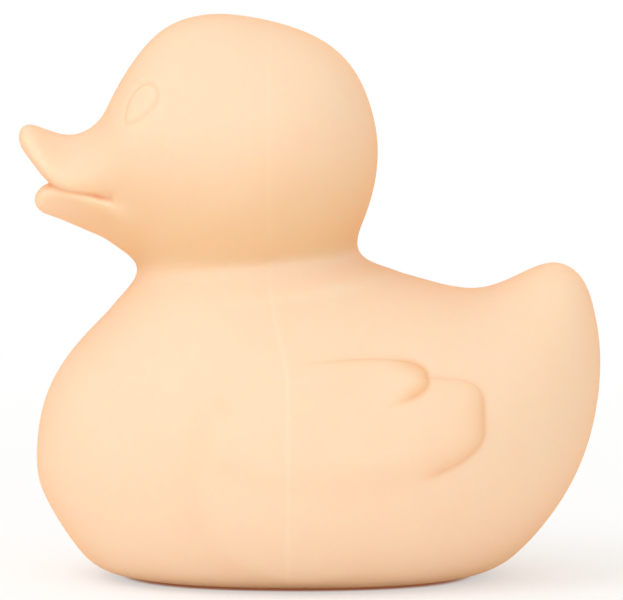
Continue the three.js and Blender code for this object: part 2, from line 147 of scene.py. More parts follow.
class Loft:
    """Smooth closed surface through oval sections."""

    def __init__(self, sections: list[Section]) -> None:
        """Fits closed splines through the sections.

        Args:
            sections: From one end of the form to the other; the first and the last are points.
        """
        self.last = len(sections) - 1
        rows = [(*s.upper, s.half, s.widest) for s in sections]
        rows += [(*s.lower, -s.half, s.widest) for s in sections[-2:0:-1]]
        count = len(rows)
        steps = np.arange(count)
        system = np.zeros((count, count))
        system[steps, steps] = 4.0
        system[steps, (steps + 1) % count] = 1.0
        system[steps, (steps - 1) % count] = 1.0
        self.control = np.linalg.solve(system / 6.0, np.array(rows))

    def line(self, steps: Array) -> Array:
        """Rows of place, half width and widest share at the given steps round the form."""
        whole = np.floor(steps).astype(int)
        after = (steps - whole)[:, None]
        before = 1.0 - after
        count = len(self.control)
        near = (3.0 * after**3 - 6.0 * after**2 + 4.0) * self.control[whole % count]
        following = (3.0 * before**3 - 6.0 * before**2 + 4.0) * self.control[(whole + 1) % count]
        ends = before**3 * self.control[(whole - 1) % count] + after**3 * self.control[(whole + 2) % count]
        return (near + following + ends) / 6.0

    def points(self, u: Array, v: Array) -> Array:
        """Points of the surface.

        Args:
            u: Step along the sections.
            v: Share of half a turn from the upper line; 1 is the lower line, up to 2 is the other side.

        Returns:
            One point a row.
        """
        near = self.line(u)
        opposite = self.line(2.0 * self.last - u)
        turn = np.pi * v
        even = (1.0 - np.cos(turn)) / 2.0
        share = even / (even + (1.0 - even) * (1.0 / near[:, 3] - 1.0))
        x = mix(near[:, 0], opposite[:, 0], share)
        z = mix(near[:, 1], opposite[:, 1], share)
        return np.column_stack([x, near[:, 2] * np.sin(turn), z])

    def mesh(self, rows: int, columns: int) -> tuple[Array, list[list[int]]]:
        """Closed mesh of the surface, with faces outwards.

        Args:
            rows: Bands along the form.
            columns: Faces round it.

        Returns:
            The points, and the corners of each face.
        """
        u = np.linspace(0.0, self.last, rows + 1)[1:-1]
        v = np.arange(columns) * 2.0 / columns
        rings = self.points(np.repeat(u, columns), np.tile(v, rows - 1))
        ends = self.points(np.array([0.0, float(self.last)]), np.zeros(2))
        points = np.vstack([rings, ends])
        here = np.arange(columns)
        beside = (here + 1) % columns
        first, final = len(rings), len(rings) + 1
        bottom = (rows - 2) * columns
        faces: list[list[int]] = [[first, int(a), int(b)][::-1] for a, b in zip(here, beside)]
        for band in range(rows - 2):
            base = band * columns
            quads = np.column_stack([here, beside, beside + columns, here + columns]) + base
            faces += quads.tolist()
        faces += [[final, bottom + int(b), bottom + int(a)][::-1] for a, b in zip(here, beside)]
        return points, faces


@dataclass(frozen=True)
class Torso:
    """Body of the duck, from the tail to the breast, on its flat base."""

    length: float = 94.2
    width: float = 74.0
    height: float = 53.0
    tail_height: float = 52.2
    base_rounding: float = 4.0
    neck_setback: float = 35.4

    # Back and belly as shares (along, up), then width and the share at which the oval is widest.
    rows: Rows = (
        (1.943, 0.957, 1.943, 0.957, 0.0, 0.5),
        (1.865, 1.0, 1.983, 0.846, 0.19, 0.5),
        (1.768, 0.961, 2.0, 0.667, 0.384, 0.5),
        (1.669, 0.918, 1.967, 0.431, 0.576, 0.5),
        (1.564, 0.923, 1.873, 0.214, 0.743, 0.5),
        (1.445, 0.957, 1.714, 0.028, 0.873, 0.5),
        (1.317, 0.995, 1.502, -0.079, 0.959, 0.52),
        (1.17, 1.056, 1.261, -0.113, 1.0, 0.55),
        (1.009, 1.091, 1.02, -0.113, 0.986, 0.56),
        (0.775, 1.072, 0.681, -0.085, 0.919, 0.56),
        (0.563, 0.978, 0.352, -0.003, 0.792, 0.55),
        (0.389, 0.866, 0.161, 0.123, 0.643, 0.53),
        (0.238, 0.763, 0.05, 0.244, 0.465, 0.51),
        (0.116, 0.659, 0.005, 0.355, 0.259, 0.5),
        (0.029, 0.522, 0.029, 0.522, 0.0, 0.5),
    )

    def place(self, along: float, up: float) -> Pair:
        """Millimetres behind the breast and above the floor for shares of the body."""
        behind = max(along - 1.0, 0.0)
        ahead = min(along, 1.0)
        height = mix(self.height, self.tail_height, behind)
        return (ahead * self.neck_setback + behind * (self.length - self.neck_setback), up * height)

    def sections(self) -> list[Section]:
        """Sections from the tail to the breast."""
        return [
            Section(self.place(*row[0:2]), self.place(*row[2:4]), row[4] * self.width / 2.0, row[5])
            for row in self.rows
        ]

    def press(self, points: Array) -> Array:
        """Points pressed flat where they reach the floor, with a rounded edge."""
        z = points[:, 2]
        reach = self.base_rounding
        soft = np.clip(z + reach, 0.0, 2.0 * reach) ** 2 / (4.0 * reach)
        pressed = points.copy()
        pressed[:, 2] = np.where(z > reach, z, soft)
        return pressed


@dataclass(frozen=True)
class Neck:
    """Filled groove between the body and the head."""

    torso: Torso
    length: float = 35.9
    width: float = 38.2
    rise: float = 4.2
    rounding: float = 3.2
    skirt: float = 5.0
    root: float = 12.0
    nape_turn: float = math.radians(62.0)
    throat_turn: float = math.radians(34.0)
    root_shares: tuple[float, ...] = (1.0, 0.85, 0.55, 0.2)

    def ring(self, turn: float, run: float = 0.0) -> Section:
        """Ring round the neck.

        Args:
            turn: 0 in the groove, 1 where the rounding ends.
            run: Distance that goes straight on from there.

        Returns:
            The ring as a section.
        """
        nape, throat = turn * self.nape_turn, turn * self.throat_turn

        def out(angle: float) -> float:
            """Distance outwards from the groove."""
            return self.rounding * (1.0 - math.cos(angle)) + run * math.sin(angle)

        def down(angle: float) -> float:
            """Distance down from the groove."""
            return self.rounding * math.sin(angle) + run * math.cos(angle)

        middle, groove = self.torso.neck_setback, self.torso.height
        return Section(
            (middle + self.length / 2.0 + out(nape), groove + self.rise / 2.0 - down(nape)),
            (middle - self.length / 2.0 - out(throat), groove - self.rise / 2.0 - down(throat)),
            self.width / 2.0 + out((nape + throat) / 2.0),
        )

    def root_ring(self, share: float) -> Section:
        """Ring of the neck's root inside the body, drawn in towards the root's end."""
        ring = self.ring(1.0, self.skirt)
        end = (self.torso.neck_setback, self.torso.height - self.root)

        def towards(place: Pair) -> Pair:
            """Place drawn towards the root's end."""
            return (mix(place[0], end[0], share**2), mix(place[1], end[1], share))

        return Section(towards(ring.upper), towards(ring.lower), ring.half * (1.0 - share**2))

    def sections(self) -> list[Section]:
        """Sections from the end of the root up to the groove."""
        root = [self.root_ring(share) for share in self.root_shares]
        skirt = [self.ring(1.0, self.skirt), self.ring(1.0, self.skirt / 2.0)]
        return root + skirt + [self.ring(1.0), self.ring(0.5), self.ring(0.0)]


@dataclass(frozen=True)
class Head:
    """Head with the upper bill."""

    neck: Neck
    length: float = 43.0
    height: float = 40.6
    width: float = 46.4
    bill_length: float = 15.4
    bill_depth: float = 18.7
    bill_width: float = 24.0
    bill_root: Pair = (-0.527, 0.201)
    throat_bend: tuple[Pair, Pair] = ((-0.395, 0.008), (-0.56, 0.13))

    # Line over the head as shares (along, up), then width and the share at which the oval is widest.
    rows: Rows = (
        (0.451, 0.156, 0.866, 0.5),
        (0.491, 0.296, 0.914, 0.5),
        (0.505, 0.447, 0.961, 0.5),
        (0.486, 0.587, 0.991, 0.5),
        (0.434, 0.733, 1.0, 0.5),
        (0.341, 0.854, 0.991, 0.5),
        (0.202, 0.936, 0.957, 0.5),
        (0.031, 0.985, 0.905, 0.5),
        (-0.136, 1.0, 0.836, 0.51),
        (-0.287, 0.961, 0.763, 0.53),
        (-0.395, 0.87, 0.69, 0.55),
        (-0.471, 0.76, 0.615, 0.57),
    )

    # Top and bottom of the upper bill as shares (forward, up) from its root, then width and widest.
    bill_rows: Rows = (
        (-0.011, 1.004, -0.005, -0.004, 1.18, 0.62),
        (0.103, 0.826, 0.087, 0.04, 1.11, 0.66),
        (0.26, 0.708, 0.222, 0.076, 1.045, 0.7),
        (0.433, 0.664, 0.379, 0.107, 0.99, 0.72),
        (0.607, 0.685, 0.547, 0.161, 0.933, 0.7),
        (0.758, 0.729, 0.71, 0.268, 0.825, 0.64),
        (0.883, 0.756, 0.856, 0.415, 0.642, 0.57),
        (0.97, 0.723, 0.959, 0.531, 0.358, 0.5),
        (1.0, 0.634, 1.0, 0.634, 0.0, 0.5),
    )

    def place(self, along: float, up: float) -> Pair:
        """Millimetres for shares of the head, from the middle of the neck's groove."""
        torso = self.neck.torso
        return (torso.neck_setback + along * self.length, torso.height + up * self.height)

    def bill_place(self, forward: float, up: float, length: float, depth: float) -> Pair:
        """Millimetres for shares of a bill of that length and depth, from the bill's root."""
        root = self.place(*self.bill_root)
        return (root[0] - forward * length, root[1] + up * depth)

    def bill_sections(self, rows: Rows, length: float, depth: float, width: float) -> list[Section]:
        """Sections of one half of the bill.

        Args:
            rows: Top, bottom, width and widest of each section.
            length: Length from the root to the tip.
            depth: Height that the shares refer to.
            width: Width that the shares refer to.

        Returns:
            The sections in the order of the rows.
        """
        return [
            Section(
                self.bill_place(row[0], row[1], length, depth),
                self.bill_place(row[2], row[3], length, depth),
                row[4] * width / 2.0,
                row[5],
            )
            for row in rows
        ]

    def sections(self) -> list[Section]:
        """Sections from the neck's root to the tip of the upper bill."""
        bill = self.bill_sections(self.bill_rows, self.bill_length, self.bill_depth, self.bill_width)
        start = np.array(self.neck.ring(0.0).lower)
        bends = [np.array(self.place(*bend)) for bend in self.throat_bend]
        chin = np.array(bill[0].lower)
        head = []
        for index, (along, up, width, widest) in enumerate(self.rows):
            t = (index + 1) / (len(self.rows) + 1)
            s = 1.0 - t
            throat = s**3 * start + 3 * s * s * t * bends[0] + 3 * s * t * t * bends[1] + t**3 * chin
            lower = (float(throat[0]), float(throat[1]))
            head.append(Section(self.place(along, up), lower, width * self.width / 2.0, widest))
        return self.neck.sections() + head + bill


@dataclass(frozen=True)
class LowerBill:
    """Lower half of the bill, which runs back into the throat."""

    head: Head
    length: float = 12.8
    depth: float = 7.3
    width: float = 21.6

    rows: Rows = (
        (-0.95, -0.4, -0.95, -0.4, 0.0, 0.5),
        (-0.64, 0.0, -0.66, -0.9, 0.85, 0.35),
        (-0.26, 0.24, -0.286, -1.0, 1.17, 0.25),
        (0.078, 0.405, 0.0, -0.75, 1.17, 0.2),
        (0.391, 0.525, 0.286, -0.523, 1.05, 0.19),
        (0.651, 0.591, 0.573, -0.307, 0.87, 0.2),
        (0.84, 0.58, 0.794, -0.159, 0.66, 0.26),
        (0.964, 0.409, 0.938, -0.034, 0.382, 0.4),
        (1.0, 0.193, 1.0, 0.193, 0.0, 0.5),
    )

    def sections(self) -> list[Section]:
        """Sections from the throat to the tip."""
        return self.head.bill_sections(self.rows, self.length, self.depth, self.width)


class Form:
    """Closed form that can say how far a place lies from it."""

    margin = 6.0
    touching = 1e-4

    def __init__(self, points: Array, faces: list[list[int]]) -> None:
        """Keeps the mesh, its box and a search tree of it."""
        self.points = points
        self.faces = faces
        self.low = points.min(axis=0) - self.margin
        self.high = points.max(axis=0) + self.margin
        self.tree = BVHTree.FromPolygons(points.tolist(), faces)

    def distance(self, places: Array) -> tuple[Array, Array]:
        """Distance from the form, negative inside it.

        Args:
            places: One place a row.

        Returns:
            The distances, and the outward direction at each place. Places well outside the form's box
            count as far away.
        """
        distance, direction = np.full(len(places), FAR), np.zeros((len(places), 3))
        near = np.flatnonzero(np.all((places > self.low) & (places < self.high), axis=1))
        if len(near) == 0:
            return distance, direction
        found = [self.tree.find_nearest(place) for place in places[near].tolist()]
        nearest = np.array([hit[0][:] for hit in found])
        normals = np.array([hit[1][:] for hit in found])
        away = places[near] - nearest
        length = np.linalg.norm(away, axis=1)
        sign = np.where(np.einsum("ij,ij->i", away, normals) < 0.0, -1.0, 1.0)
        clear = (length > self.touching)[:, None]
        distance[near] = sign * length
        outward = away * (sign / np.maximum(length, self.touching))[:, None]
        direction[near] = np.where(clear, outward, normals)
        return distance, direction


def join(
    first: tuple[Array, Array],
    second: tuple[Array, Array],
    rounding: Values,
) -> tuple[Array, Array]:
    """Distance and direction of two forms run together.

    Args:
        first: Distances and directions of one form.
        second: The same for the other.
        rounding: Distance over which the corner between them is filled.

    Returns:
        The same for both together.
    """
    share = np.clip(0.5 + 0.5 * (second[0] - first[0]) / rounding, 0.0, 1.0)
    distance = mix(second[0], first[0], share) - rounding * share * (1.0 - share)
    return distance, mix(second[1], first[1], share[:, None])


@dataclass
class PlainSkin:
    """Skin of the duck before its raised details: three lofts run together."""

    torso: Torso
    head: Head
    lower_bill: LowerBill
    neck_rounding: float = 2.2
    mouth_rounding: float = 0.6
    throat_rounding: float = 3.5
    throat_level: Pair = (57.0, 62.5)
    corner_place: Pair = (10.6, 16.0)
    mouth_depth: float = 1.5
    inset: float = 0.08
    inset_level: Pair = (0.2, 2.0)
    torso_grid: tuple[int, int] = (250, 300)
    head_grid: tuple[int, int] = (290, 240)
    bill_grid: tuple[int, int] = (150, 160)
    settle_passes: int = 2
    least_slope: float = 0.25
    forms: list[Form] = field(default_factory=list)

    def prepare(self) -> None:
        """Makes the three forms."""
        points, faces = Loft(self.torso.sections()).mesh(*self.torso_grid)
        self.forms.append(Form(self.torso.press(points), faces))
        self.forms.append(Form(*Loft(self.head.sections()).mesh(*self.head_grid)))
        self.forms.append(Form(*Loft(self.lower_bill.sections()).mesh(*self.bill_grid)))

    def distance(self, places: Array) -> tuple[Array, Array]:
        """Distance from the skin and outward direction, for one place a row.

        The skin lies a little inside the lofts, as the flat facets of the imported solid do.
        """
        torso, head, bill = [form.distance(places) for form in self.forms]
        crease = ease(places[:, 2], *self.throat_level) * (1.0 - ease(places[:, 0], *self.corner_place))
        rounding = mix(self.throat_rounding, self.mouth_rounding, crease)
        distance, direction = join(join(torso, head, self.neck_rounding), bill, rounding)
        return distance + self.inset * ease(places[:, 2], *self.inset_level), direction

    def mouth_gap(self, places: Array) -> Array:
        """How far each place lies from the crease of the mouth, roughly."""
        head, bill = self.forms[1].distance(places)[0], self.forms[2].distance(places)[0]
        below = np.maximum(self.throat_level[1] - places[:, 2], 0.0)
        return np.maximum(np.abs(head - bill), np.abs(head) + np.abs(bill) - self.mouth_depth) + below

    def settle(self, places: Array) -> Array:
        """Places moved onto the skin."""
        settled = places.copy()
        for _ in range(self.settle_passes):
            distance, direction = self.distance(settled)
            slope = np.maximum(np.einsum("ij,ij->i", direction, direction), self.least_slope)
            settled -= direction * (distance / slope)[:, None]
        settled[:, 2] = np.maximum(settled[:, 2], 0.0)
        return settled


class Outline:
    """Closed line in the side view."""

    batch = 4000

    def __init__(self, points: Array) -> None:
        """Keeps the points, which run anticlockwise."""
        self.points = points
        self.steps = np.roll(points, -1, axis=0) - points

    def inset(self, places: Array, reach: float) -> tuple[Array, Array]:
        """Distance inwards from the line.

        Args:
            places: Places in the side view, one a row.
            reach: Distance outside the line beyond which a place needs no measure.

        Returns:
            The distances, negative outside, and the share of the line at which each is nearest.
        """
        low, high = self.points.min(axis=0) - reach, self.points.max(axis=0) + reach
        near = np.flatnonzero(np.all((places > low) & (places < high), axis=1))
        inset, share = np.full(len(places), -FAR), np.zeros(len(places))
        squares = np.einsum("ij,ij->i", self.steps, self.steps)
        for chunk in np.array_split(near, max(1, len(near) // self.batch)):
            away = places[chunk][:, None, :] - self.points[None, :, :]
            along = np.clip(np.einsum("ijk,jk->ij", away, self.steps) / squares, 0.0, 1.0)
            rest = away - along[:, :, None] * self.steps[None, :, :]
            gaps = np.einsum("ijk,ijk->ij", rest, rest)
            best = np.argmin(gaps, axis=1)
            rows = np.arange(len(chunk))
            nearest = self.steps[best]
            side = nearest[:, 0] * away[rows, best, 1] - nearest[:, 1] * away[rows, best, 0]
            inset[chunk] = np.sqrt(gaps[rows, best]) * np.sign(side)
            share[chunk] = (best + along[rows, best]) / len(self.points)
        return inset, share


@dataclass
class Wing:
    """Low wing on each flank: a pillowed layer under one long feather."""

    torso: Torso
    length: float = 45.8
    depth: float = 17.4
    thickness: float = 1.1
    crisp_width: float = 4.5
    fade_width: float = 5.0
    front_share: float = 0.32
    rise: Pair = (-0.6, 0.6)
    corner_power: float = 6.0
    place: Pair = (1.262, 0.511)
    crisp_turn: float = math.radians(6.0)
    crisp_reach: Pair = (math.radians(51.0), math.radians(67.0))
    feather_length: float = 32.2
    feather_depth: float = 8.1
    feather_thickness: float = 0.8
    feather_width: float = 2.6
    feather_place: Pair = (-0.05, 0.418)
    feather_slant: float = math.radians(4.0)
    feather_squareness: float = 0.76
    top_fade: Pair = (-0.5, 0.3)
    bottom_fade: Pair = (0.45, 0.85)
    # From edge_line to line_reach: strengths and widths of the painted shade at the feet of the wing's and
    # the feather's edges.
    edge_line: float = 0.75
    upper_line: float = 0.35
    upper_edge: Pair = (0.35, 0.8)
    line_width: float = 0.55
    inner_line_width: float = 1.4
    band_width: float = 4.8
    band_share: float = 0.4
    feather_line_width: float = 1.8
    soft_line: float = 0.12
    soft_line_width: float = 2.4
    top_line: float = 0.25
    tip_reach: Pair = (0.55, 0.9)
    line_reach: float = 3.0
    fade_turn: Pair = (-0.9, 0.9)
    feather_cover: Pair = (-0.6, 0.6)
    wing_cover: Pair = (-0.5, 0.5)
    cover_reach: float = 1.0
    steps: int = 240
    edges: EdgeLength = EdgeLength(0.22, 0.4, 0.4)
    edges_reach: float = 4.0
    soft_gap: float = 4.0

    def __post_init__(self) -> None:
        """Draws the two outlines."""
        self.middle = np.array(self.torso.place(*self.place))
        self.wing_line = Outline(self.middle + self._wing_points())
        shift = np.array([self.feather_place[0] * self.length, self.feather_place[1] * self.depth])
        self.feather_middle = self.middle + shift
        self.feather_axis = np.array([math.cos(self.feather_slant), math.sin(self.feather_slant)])
        self.feather_line = Outline(self.feather_middle + self._feather_points())

    def _angles(self) -> Array:
        """Angles round an outline."""
        return np.arange(self.steps) * 2.0 * np.pi / self.steps

    def _wing_points(self) -> Array:
        """Oval with its upper rear corner filled out, from the wing's middle."""
        angles = self._angles()
        along, up = np.cos(angles), np.sin(angles)
        power = np.where((along > 0.0) & (up > 0.0), self.corner_power, 2.0)
        reach = (np.abs(along) ** power + np.abs(up) ** power) ** (-1.0 / power)
        return np.column_stack([self.length / 2.0 * along * reach, self.depth / 2.0 * up * reach])

    def _feather_points(self) -> Array:
        """Long rounded shape on its slant, from its own middle."""
        angles = self._angles()
        waves = (np.cos(angles), np.sin(angles))
        along, up = (np.sign(wave) * np.abs(wave) ** self.feather_squareness for wave in waves)
        across = np.array([-self.feather_axis[1], self.feather_axis[0]])
        return (
            np.outer(along * self.feather_length / 2.0, self.feather_axis)
            + np.outer(up * self.feather_depth / 2.0, across)
        )

    def _softness(self, share: Array) -> Array:
        """0 where the wing's edge is crisp and 1 where it fades, for shares of its outline."""
        turn = np.arccos(np.cos(share * 2.0 * np.pi - self.crisp_turn))
        return ease(turn, *self.crisp_reach)

    def height(self, side_view: Array) -> Array:
        """How far the wing stands off the flank at places in the side view."""
        inset, share = self.wing_line.inset(side_view, 0.0)
        soft = self._softness(share)
        crisp = edge_profile(inset, self.crisp_width, EdgeKind.PILLOW)
        fading = edge_profile(inset, self.fade_width, EdgeKind.FADE)
        along = (side_view[:, 0] - self.middle[0]) / (self.length / 2.0)
        full = self.thickness * mix(self.front_share, 1.0, ease(along, *self.rise))
        wing = full * np.where(inset > 0.0, mix(crisp, fading, soft), 0.0)
        return wing + self._feather_height(side_view)

    def _along_feather(self, side_view: Array) -> Array:
        """Share of the feather's half length from its middle, positive towards its tip."""
        return (side_view - self.feather_middle) @ self.feather_axis / (self.feather_length / 2.0)

    def _feather_fade(self, side_view: Array) -> Array:
        """1 where the feather stands off in full and 0 where it has sunk into the flank."""
        offset = side_view - self.feather_middle
        along = self._along_feather(side_view)
        across = offset[:, 1] * self.feather_axis[0] - offset[:, 0] * self.feather_axis[1]
        up = across / (self.feather_depth / 2.0)
        top, bottom = ease(along, *self.top_fade), ease(along, *self.bottom_fade)
        return mix(bottom, top, ease(up, *self.fade_turn))

    def _feather_height(self, side_view: Array) -> Array:
        """How far the feather stands off the wing."""
        inset, _ = self.feather_line.inset(side_view, 0.0)
        profile = edge_profile(inset, self.feather_width, EdgeKind.PILLOW)
        return self.feather_thickness * np.where(inset > 0.0, profile * self._feather_fade(side_view), 0.0)

    def cover(self, side_view: Array) -> Array:
        """1 on the wing and 0 beside it, at places in the side view."""
        inset, _ = self.wing_line.inset(side_view, self.cover_reach)
        return ease(inset, *self.wing_cover)

    def lines(self, side_view: Array) -> Array:
        """Strength of the painted shade at the foot of an edge of wing or feather, at places in the side
        view, from 0 to 1.
        """
        reach = self.line_reach * self.soft_line_width
        inset, share = self.wing_line.inset(side_view, reach)
        crisp = 1.0 - self._softness(share)
        narrow = bell(inset, np.where(inset > 0.0, self.inner_line_width, self.line_width))
        band = np.where(inset > 0.0, bell(inset, self.band_width), narrow)
        soft = self.soft_line * bell(inset, self.soft_line_width)
        upper = ease(np.sin(share * 2.0 * np.pi), *self.upper_edge)
        edge = self.edge_line * mix(1.0, self.upper_line, upper)
        wing = mix(soft, edge * mix(narrow, band, self.band_share), crisp)
        inset, _ = self.feather_line.inset(side_view, reach)
        width = np.where(inset > 0.0, self.feather_line_width, self.line_width)
        tip = ease(self._along_feather(side_view), *self.tip_reach)
        feather = bell(inset, width) * self._feather_fade(side_view) * mix(self.top_line, 1.0, tip)
        return np.maximum(wing * (1.0 - ease(inset, *self.feather_cover)), feather)

    def wanted_size(self, side_view: Array) -> Array:
        """Length that mesh edges should have at places in the side view."""
        wing, share = self.wing_line.inset(side_view, self.edges_reach)
        feather, _ = self.feather_line.inset(side_view, self.edges_reach)
        wing_gap = np.abs(wing) + self.soft_gap * self._softness(share)
        return self.edges.at(np.minimum(wing_gap, np.abs(feather)))


@dataclass
class Eye:
    """Drop-shaped eye on each side of the head: a low lens inside an engraved line."""

    head: Head
    length: float = 7.95
    width: float = 3.95
    bulge: float = 0.25
    line_depth: float = 0.17
    line_width: float = 0.75
    # Strength of the painted shade in the engraved line.
    groove_shade: float = 0.12
    place: Pair = (-0.462, 0.562)
    slant: float = math.radians(53.0)
    taper: Pair = (0.8, 0.5)
    steps: int = 160
    line_reach: float = 2.0
    edges: EdgeLength = EdgeLength(0.13, 0.5, 0.35)
    edges_reach: float = 3.0

    def __post_init__(self) -> None:
        """Draws the outline."""
        corner = np.array(self.head.place(*self.place))
        angles = np.arange(self.steps) * 2.0 * np.pi / self.steps
        along = (1.0 + np.cos(angles)) / 2.0
        front, rear = self.taper
        fullest = (front / (front + rear)) ** front * (rear / (front + rear)) ** rear
        half = self.width / 2.0 * along**front * np.maximum(1.0 - along, 0.0) ** rear / fullest
        axis = np.array([math.cos(self.slant), math.sin(self.slant)])
        across = np.array([-axis[1], axis[0]])
        offset = np.outer(along * self.length, axis) + np.outer(np.sign(np.sin(angles)) * half, across)
        self.line = Outline(corner + offset)

    def height(self, side_view: Array) -> Array:
        """Height of the lens and depth of its line at places in the side view."""
        inset, _ = self.line.inset(side_view, self.line_reach)
        groove = bell(inset, self.line_width / 2.0)
        lens = edge_profile(inset, self.width / 2.0, EdgeKind.PILLOW)
        return self.bulge * np.where(inset > 0.0, lens, 0.0) - self.line_depth * groove

    def lines(self, side_view: Array) -> Array:
        """Strength of the painted shade in the engraved line at places in the side view, 0 away from it."""
        inset, _ = self.line.inset(side_view, self.line_reach)
        return self.groove_shade * bell(inset, self.line_width / 2.0)

    def wanted_size(self, side_view: Array) -> Array:
        """Length that mesh edges should have at places in the side view."""
        inset, _ = self.line.inset(side_view, self.edges_reach)
        return self.edges.at(np.abs(inset))


@dataclass(frozen=True)
class FlankOval:
    """Barely raised oval on each flank, from which the wing grows."""

    middle: Pair = (45.6, 16.5)
    length: float = 39.0
    depth: float = 32.0
    thickness: float = 0.35
    edge: float = 0.16
    fade: Pair = (-0.1, 0.7)
    # Strength of the painted shade at the foot of the oval's edge.
    line: float = 0.12

    def height(self, side_view: Array) -> Array:
        """How far the oval stands off the flank at places in the side view."""
        offset, reach = self._reach(side_view)
        raised = self.thickness * (1.0 - ease(reach, 1.0 - self.edge, 1.0))
        return raised * (1.0 - ease(offset[:, 0], *self.fade))

    def _reach(self, side_view: Array) -> tuple[Array, Array]:
        """Offsets from the oval's middle as shares of its half sizes, and their lengths."""
        half = np.array([self.length / 2.0, self.depth / 2.0])
        offset = (side_view - np.array(self.middle)) / half
        return offset, np.linalg.norm(offset, axis=1)

    def lines(self, side_view: Array) -> Array:
        """Strength of the painted shade at the foot of the oval's edge, at places in the side view, from 0
        to 1.
        """
        offset, reach = self._reach(side_view)
        return self.line * bell(reach - 1.0, self.edge) * (1.0 - ease(offset[:, 0], *self.fade))


@dataclass(frozen=True)
class MouldSeam:
    """Fine raised line that the mould leaves round the duck, across its length."""

    body_place: float = 42.3
    head_place: float = 39.2
    bend: Pair = (33.0, 52.0)
    width: float = 0.78
    thickness: float = 0.014
    head_share: float = 0.5
    start_level: Pair = (0.3, 2.0)
    edges: EdgeLength = EdgeLength(0.26, 0.4, 0.5)

    def gap(self, points: Array) -> Array:
        """Distance of points from the plane of the seam."""
        line = mix(self.body_place, self.head_place, ease(points[:, 2], *self.bend))
        return np.abs(points[:, 0] - line)

    def mask(self, points: Array) -> Array:
        """1 on the seam and 0 beside it; none on the base."""
        gap = self.gap(points) / (self.width / 2.0)
        level = mix(1.0, self.head_share, ease(points[:, 2], *self.bend))
        return level * np.exp(-(gap**4)) * ease(points[:, 2], *self.start_level)

    def wanted_size(self, points: Array) -> Array:
        """Length that mesh edges should have at points of the skin."""
        return self.edges.at(self.gap(points))


def edge_ends(triangles: Array, count: int) -> tuple[Array, Array]:
    """Edges of triangles, each once.

    Args:
        triangles: Corners of the triangles.
        count: Number of points.

    Returns:
        The two ends of each edge, and the edge of each side of the triangles, side by side.
    """
    sides = np.concatenate([triangles[:, [0, 1]], triangles[:, [1, 2]], triangles[:, [2, 0]]])
    keys = sides.min(axis=1).astype(np.int64) * count + sides.max(axis=1)
    unique, inverse = np.unique(keys, return_inverse=True)
    return np.column_stack([unique // count, unique % count]), inverse.reshape(3, -1).T


def split_long_edges(
    points: Array, triangles: Array, wanted: Callable[[Array], Array], slack: float
) -> tuple[Array, Array, int]:
    """Halves every edge that is longer than is wanted at its middle.

    Args:
        points: Points of the mesh.
        triangles: Corners of its triangles.
        wanted: Gives the length wanted at places.
        slack: How many times longer an edge may be.

    Returns:
        The new points, the new triangles and the number of edges that were halved.
    """
    ends, sides = edge_ends(triangles, len(points))
    middles = points[ends].mean(axis=1)
    lengths = np.linalg.norm(points[ends[:, 0]] - points[ends[:, 1]], axis=1)
    long = lengths > slack * wanted(middles)
    new = np.full(len(ends), -1)
    new[long] = len(points) + np.arange(int(long.sum()))
    points = np.vstack([points, middles[long]])
    cuts = new[sides]
    number = (cuts >= 0).sum(axis=1)
    first = np.where(number == 1, np.argmax(cuts >= 0, axis=1), (np.argmin(cuts, axis=1) + 1) % 3)
    order = (first[:, None] + np.arange(3)) % 3
    a, b, c = np.take_along_axis(triangles, order, axis=1).T
    ab, bc, ca = np.take_along_axis(cuts, order, axis=1).T
    one, two, three = number == 1, number == 2, number == 3
    flat = np.linalg.norm(points[a] - points[bc], axis=1) < np.linalg.norm(points[ab] - points[c], axis=1)
    pieces = [
        (number == 0, (a, b, c)),
        (one, (a, ab, c)), (one, (ab, b, c)),
        (two, (ab, b, bc)),
        (two & flat, (a, ab, bc)), (two & flat, (a, bc, c)),
        (two & ~flat, (a, ab, c)), (two & ~flat, (ab, bc, c)),
        (three, (a, ab, ca)), (three, (ab, b, bc)), (three, (ca, bc, c)), (three, (ab, bc, ca)),
    ]
    made = [np.column_stack(corners)[mask] for mask, corners in pieces]
    return points, np.concatenate(made), int(long.sum())


def relax(points: Array, triangles: Array, share: float) -> Array:
    """Points drawn towards the middle of their neighbours."""
    ends, _ = edge_ends(triangles, len(points))
    both = np.concatenate([ends, ends[:, ::-1]])
    number = np.bincount(both[:, 0], minlength=len(points))
    beside = points[both[:, 1]].T
    sums = [np.bincount(both[:, 0], weights=row, minlength=len(points)) for row in beside]
    middle = np.column_stack(sums) / np.maximum(number, 1)[:, None]
    return mix(points, middle, share)


def add_object(name: str, data: bpy.types.ID) -> bpy.types.Object:
    """Object with that data, added to the scene."""
    thing = bpy.data.objects.new(name, data)
    bpy.context.scene.collection.objects.link(thing)
    return thing


